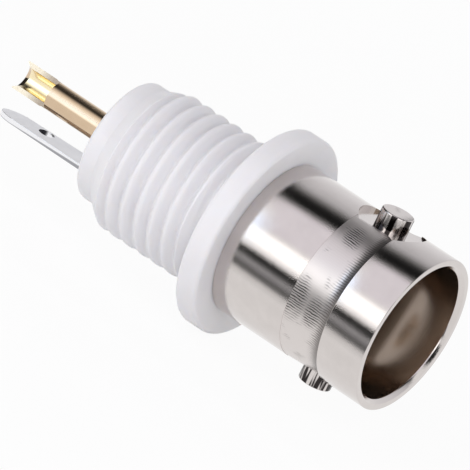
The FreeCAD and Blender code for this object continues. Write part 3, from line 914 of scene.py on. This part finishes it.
# %% Fluoroplastic
fluoroplastic = Finish("fluoroplastic", Subsurface_Weight=0.1, IOR=1.36)
fluoroplastic.shader.inputs["Subsurface Radius"].default_value = (0.5 * MM, 0.5 * MM, 0.5 * MM)
fluoroplastic.shader.inputs["Subsurface Scale"].default_value = 1.0
tool_lines = fluoroplastic.noise(fluoroplastic.round_the_axis(18.0, 0.8), 1.0)
haze = fluoroplastic.noise(fluoroplastic.place(), 1.3, 3.0)
fluoroplastic.drive(
    Base_Color=fluoroplastic.blend(haze, (0.78, 0.78, 0.77), (0.85, 0.85, 0.84)),
    Roughness=haze * 0.1 + 0.42,
)
fluoroplastic.relief(tool_lines, 0.3, 0.01)
fluoroplastic.tell()

# %% Front and rear insulator
NOSE, SOCKET_HOLE, GRIPPED, COLLAR = 2.36, 1.13, 2.53, 2.73
CONTACT_SEAT, SEAT_DEPTH = 1.47, 0.6  # radius and depth of the seat for the contact's collar
front_low, front_high = (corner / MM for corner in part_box("front_insulator"))
front_outline = [
    (front_high.x, SOCKET_HOLE, 0.05),
    (front_high.x, NOSE, 0.1),
    (BUTTING_FACE, NOSE, 0),
    (BUTTING_FACE, GRIPPED, 0.03),
    (CORE_SHOULDER, GRIPPED, 0),
    (CORE_SHOULDER, COLLAR, 0),
    (front_low.x, COLLAR, 0),
    (front_low.x, CONTACT_SEAT, 0),
    (front_low.x + SEAT_DEPTH, CONTACT_SEAT, 0),
    (front_low.x + SEAT_DEPTH, SOCKET_HOLE, 0),
]
bm = lathe(front_outline, STEPS)
finished("nose_insulator", bm, [fluoroplastic], "front_insulator")

PASSAGE, SLEEVE, SLEEVE_STEPS = 0.91, 1.2, 96
rear_low, rear_high = (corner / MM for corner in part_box("rear_insulator"))
ferrule_low, ferrule_high = (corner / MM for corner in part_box("rear_ferrule"))
rear_outline = [
    (rear_high.x, PASSAGE, 0),
    (rear_high.x, COLLAR, 0),
    (ferrule_high.x, COLLAR, 0),
    (ferrule_high.x, SLEEVE, 0),
    (rear_low.x, SLEEVE, 0.04),
    (rear_low.x, PASSAGE, 0.03),
]
bm = lathe(rear_outline, SLEEVE_STEPS)
finished("sleeve_insulator", bm, [fluoroplastic], "rear_insulator")

# %% [markdown]
# ## Ferrule
# A nickel ferrule closes the neck from behind. Its thin tail passes through the bushing's inner
# wall and the tag's eyelet, and was riveted over, so its lip is rolled and not sharp. The lip
# could be a ring of its own, but two rounded corners on the outline give it in one piece.

# %% Ferrule
FERRULE, FERRULE_LIP, SLEEVE_HOLE = 1.45, 1.65, 1.22
TAG_SHEET = 0.3
TAG_REAR = WEB_REAR - TAG_SHEET
ferrule_outline = [
    (ferrule_high.x, SLEEVE_HOLE, 0),
    (ferrule_high.x, COLLAR, 0.05),
    (WEB_FRONT, COLLAR, 0.05),
    (WEB_FRONT, FERRULE, 0),
    (TAG_REAR, FERRULE, 0),
    (TAG_REAR, FERRULE_LIP, 0.1),
    (ferrule_low.x, FERRULE_LIP, 0.14),
    (ferrule_low.x, SLEEVE_HOLE, 0.08),
]
bm = lathe(ferrule_outline, STEPS)
# the ferrule takes the bore's nickel with its painted shade
finished("riveted_ferrule", bm, [bore_nickel_painted_shade], "rear_ferrule")

# %% [markdown]
# ## Gold contact
# The contact is turned brass with gold on it. In front, two saw slots part it into four tines
# that grip the plug's pin. Behind, the solder cup is bored and countersunk, and one side of it
# is milled away, so that a wire can be laid in it. The cuts could be drawn into the mesh, but
# Booleans with boxes leave the edges that the saw and the mill leave.

# %% Gold
def gilt(name, rough, rough_change, dull=None, bright=None):
    """Gold plate over lathe lines, between two colours if they are given: tarnish on the turned
    gold, and a painted sheen in the cup, whose colours are a brighter copy of the gold.
    """
    finish = Finish(name, Metallic=1.0)
    lathe_lines = finish.noise(finish.round_the_axis(26.0, 1.2), 1.0, 3.0)
    finish.drive(Roughness=lathe_lines * rough_change + rough)
    if dull:
        tarnish_and_sheen = finish.noise(finish.place(), 1.1, 4.0)
        finish.drive(Base_Color=finish.blend(tarnish_and_sheen, dull, bright))
    finish.relief(lathe_lines, 0.5, 0.003)
    return finish


turned_gold = gilt("turned_gold", 0.07, 0.08, (0.62, 0.46, 0.31), (0.71, 0.55, 0.39))
cut_gold = gilt("cut_gold", 0.34, 0.2)
# painted sheen: the cup's gold is a brighter, yellower copy, for the light that the gold throws
# back inside the cup
cup_gold_painted_sheen = gilt("cup_gold_painted_sheen", 0.14, 0.12, (0.93, 0.78, 0.48), (1.0, 0.88, 0.62))

# the cut faces go from a painted highlight, pale at the cup's end, to painted shade, brown farther
# back
contact_low, contact_high = (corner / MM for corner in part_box("centre_contact"))
x, _, _ = cut_gold.split(cut_gold.place())
tip_highlight_to_shade = cut_gold.between(x, contact_low.x + 0.7, contact_low.x + 2.1)
cut_gold.drive(Base_Color=cut_gold.blend(tip_highlight_to_shade, (0.84, 0.73, 0.56), (0.42, 0.34, 0.26)))
for gold in (turned_gold, cut_gold, cup_gold_painted_sheen):
    gold.tell()

# %% Contact shape
PIN_HOLE = mount_radius("pin_socket")
PIN_DEPTH = 5.0
TINES, CONTACT_COLLAR, CONTACT_TAIL, CUP, CUP_BORE = 1.05, 1.45, 0.855, 0.89, 0.6
CUP_END, CUP_LENGTH, CUP_DEPTH = contact_low.x, 2.05, 2.7
CUP_LIP, CUP_MOUTH = 0.07, 0.3  # the rim's width and the countersink's depth
contact_outline = [
    (contact_high.x - PIN_DEPTH, 0, 0),
    (contact_high.x - PIN_DEPTH, PIN_HOLE, 0),
    (contact_high.x, PIN_HOLE, 0.08),
    (contact_high.x, TINES, 0.1),
    (front_low.x + SEAT_DEPTH, TINES, 0),
    (front_low.x + SEAT_DEPTH, CONTACT_COLLAR, 0.03),
    (front_low.x, CONTACT_COLLAR, 0.03),
    (front_low.x, CONTACT_TAIL, 0),
    (CUP_END + CUP_LENGTH, CONTACT_TAIL, 0),
    (CUP_END + CUP_LENGTH, CUP, 0.015),
    (CUP_END, CUP, 0.02),
    (CUP_END, CUP - CUP_LIP, 0.02),
    (CUP_END + CUP_MOUTH, CUP_BORE, 0.03),
    (CUP_END + CUP_DEPTH, CUP_BORE, 0),
    (CUP_END + CUP_DEPTH, 0, 0),
]
bm = lathe(contact_outline, STEPS, closed=False)
TINE_SLOT, TINE_LENGTH = 0.25, 3.8
for quarter in (0, 1):
    slot = box_tool(
        (contact_high.x - TINE_LENGTH, -TINES - PAST, -TINE_SLOT / 2),
        (contact_high.x + PAST, TINES + PAST, TINE_SLOT / 2),
    )
    bmesh.ops.rotate(slot, verts=slot.verts, matrix=Matrix.Rotation(quarter * math.pi / 2, 3, "X"))
    bm = joined(bm, slot, "DIFFERENCE")

# %% Solder cup
CUP_TURN = math.radians(72)  # from +Z towards -Y, the side that is milled away
CUP_OPENING = 2.45
opening = box_tool(
    (CUP_END - PAST, -CUP - PAST, 0),
    (CUP_END + CUP_OPENING, CUP + PAST, CUP + PAST),
)
bmesh.ops.rotate(opening, verts=opening.verts, matrix=Matrix.Rotation(CUP_TURN, 3, "X"))
bm = joined(bm, opening, "DIFFERENCE")
cut_plane = Vector((0, -math.sin(CUP_TURN), math.cos(CUP_TURN)))


def contact_finish(face):
    """0 turned, 1 the faces that the mill left, 2 the inside of the cup."""
    middle = face.calc_center_median() / MM
    if middle.x > CUP_END + CUP_OPENING + 0.1:
        return 0
    if face.normal.dot(cut_plane) > 0.99 and abs(middle.dot(cut_plane)) < 0.01:
        return 1
    return 2 if math.hypot(middle.y, middle.z) < CUP_BORE + 0.02 else 0


finished(
    "gold_contact",
    bm,
    [turned_gold, cut_gold, cup_gold_painted_sheen],
    "centre_contact",
    pick=contact_finish,
)

# %% [markdown]
# ## Solder tag
# The tag is stamped from tinned sheet: an eyelet round the ferrule, bent square into a blade
# with a round tip and a hole for the wire. The blade is drawn from the side and pushed out to
# its width, the tip is a bevel as wide as half the blade, and stamping leaves soft edges.

# %% Tin
def tinned(name, rough, dull=None, bright=None):
    """Tin plate on rolled sheet, blotched between two colours if they are given."""
    finish = Finish(name, Metallic=1.0)
    rolled = finish.noise(finish.place(), 3.0, 4.0)
    finish.drive(Roughness=rolled * 0.14 + rough)
    if dull:
        blotches = finish.noise(finish.place(), 0.8, 3.0)
        finish.drive(Base_Color=finish.blend(blotches, dull, bright))
    finish.relief(rolled, 0.2, 0.01)
    return finish


rolled_tin = tinned("rolled_tin", 0.28, (0.70, 0.70, 0.73), (0.82, 0.82, 0.85))
sheared_tin = tinned("sheared_tin", 0.12)
punched_tin = tinned("punched_tin", 0.10)
for tin in (rolled_tin, sheared_tin, punched_tin):
    tin.tell()

# %% Tag shape
tag_low, tag_high = (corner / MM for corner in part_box("solder_tag"))
TAG_WIDTH, TAG_HOLE, HOLE_SETBACK, BEND = 2.3, 0.48, 2.9, 0.2
HOLE_AT, HOLE_SIDE = tag_low.x + HOLE_SETBACK, 0.35
BLADE_OUT = -tag_low.z
BLADE_IN = BLADE_OUT - TAG_SHEET
EYELET = tag_high.z
BEND_SEGMENTS, TIP_SEGMENTS, HOLE_STEPS = 12, 16, 64
side_view = [
    (WEB_REAR, -BLADE_OUT, BEND + TAG_SHEET),
    (WEB_REAR, BEND - BLADE_IN, 0),
    (TAG_REAR, BEND - BLADE_IN, 0),
    (TAG_REAR, -BLADE_IN, BEND),
    (tag_low.x, -BLADE_IN, 0),
    (tag_low.x, -BLADE_OUT, 0),
]
bm = bmesh.new()
corners = [bm.verts.new((along * MM, -TAG_WIDTH / 2 * MM, up * MM)) for along, up, _ in side_view]
for here, there in zip(corners, corners[1:] + corners[:1]):
    bm.edges.new((here, there))
for corner, (_, _, rounding) in zip(corners, side_view):
    if rounding:
        rounded(bm, [corner], rounding, BEND_SEGMENTS)
side = bmesh.ops.contextual_create(bm, geom=bm.edges[:])["faces"]
grown = bmesh.ops.extrude_face_region(bm, geom=side)["geom"]
pushed = [item for item in grown if isinstance(item, bmesh.types.BMVert)]
bmesh.ops.translate(bm, verts=pushed, vec=(0, TAG_WIDTH * MM, 0))
tip = [
    edge
    for edge in bm.edges
    if all(vert.co.x < tag_low.x * MM + SAME for vert in edge.verts)
    and abs(edge.verts[0].co.y - edge.verts[1].co.y) < SAME
]
rounded(bm, tip, TAG_WIDTH / 2, TIP_SEGMENTS, "EDGES")
bmesh.ops.remove_doubles(bm, verts=bm.verts, dist=SAME)
bmesh.ops.recalc_face_normals(bm, faces=bm.faces)

# %% Taper of the blade
# The blade narrows towards its tip and hangs a little lower there. It has no vertices between
# the bend and the round tip, so moving those of the tip tapers the whole blade.
TAPER_FROM, TAPER = -9.5, 0.131
BLADE_HALF = 1.65  # what the tip's taper comes to at TAPER_FROM
BLADE_SLOPE, BLADE_LIFT = 0.04, 0.16
BLADE_FROM = TAG_REAR - 0.5  # clear of the bend
for vert in bm.verts:
    along = vert.co.x / MM
    if along < BLADE_FROM:
        half = BLADE_HALF + (along - TAPER_FROM) * TAPER
        vert.co.y *= half / (TAG_WIDTH / 2)
        vert.co.z += ((along - TAPER_FROM) * BLADE_SLOPE + BLADE_LIFT) * MM
LOWER_FACE_AT = BLADE_LIFT - BLADE_OUT - TAPER_FROM * BLADE_SLOPE
print("the blade's lower face is at", round(LOWER_FACE_AT, 2), "mm where x is 0")

# %% Eyelet and hole
eyelet_outline = [
    (WEB_REAR, FERRULE + 0.02, 0),
    (WEB_REAR, EYELET, 0),
    (TAG_REAR, EYELET, 0),
    (TAG_REAR, FERRULE + 0.02, 0),
]
eyelet = lathe(eyelet_outline, STEPS)
below = box_tool(
    (TAG_REAR - PAST, -EYELET - PAST, -EYELET - PAST),
    (WEB_REAR + PAST, EYELET + PAST, BEND - BLADE_IN),
)
eyelet = joined(eyelet, below, "DIFFERENCE")
bm = joined(eyelet, bm, "UNION")
hole = post_tool(TAG_HOLE, -BLADE_OUT - PAST, -BLADE_IN + PAST, HOLE_STEPS)
bmesh.ops.translate(hole, verts=hole.verts, vec=(HOLE_AT * MM, HOLE_SIDE * MM, 0))
bm = joined(bm, hole, "DIFFERENCE")
# the sheared edge is painted pale as a highlight, with a dark line of painted shade low along it
x, _, z = sheared_tin.split(sheared_tin.place())
edge_shade_low = sheared_tin.between(z - x * BLADE_SLOPE, LOWER_FACE_AT, LOWER_FACE_AT + 0.07)
sheared_tin.drive(Base_Color=sheared_tin.blend(edge_shade_low, (0.36, 0.36, 0.38), (0.90, 0.90, 0.92)))
# the hole's wall has painted shade towards the tip and a painted highlight away from it
x, _, _ = punched_tin.split(punched_tin.place())
hole_shade_from_tip = punched_tin.between(x, HOLE_AT - 0.28, HOLE_AT - 0.10)
punched_tin.drive(Base_Color=punched_tin.blend(hole_shade_from_tip, (0.03, 0.03, 0.035), (0.92, 0.92, 0.94)))


def tag_finish(face):
    """0 rolled, 1 sheared, 2 the wall of the hole."""
    middle = face.calc_center_median() / MM
    if abs(face.normal.z) > 0.5 or middle.x > BLADE_FROM:
        return 0
    return 2 if math.hypot(middle.x - HOLE_AT, middle.y - HOLE_SIDE) < TAG_HOLE + 0.01 else 1


tag = finished(
    "stamped_tag",
    bm,
    [rolled_tin, sheared_tin, punched_tin],
    "solder_tag",
    pick=tag_finish,
)
STAMPED_EDGE, STAMPED_SEGMENTS, STAMPED_ANGLE = 0.05, 3, math.radians(50)
edges = tag.modifiers.new("stamped_edges", "BEVEL")
edges.width = STAMPED_EDGE * MM
edges.segments = STAMPED_SEGMENTS
edges.limit_method = "ANGLE"
edges.angle_limit = STAMPED_ANGLE
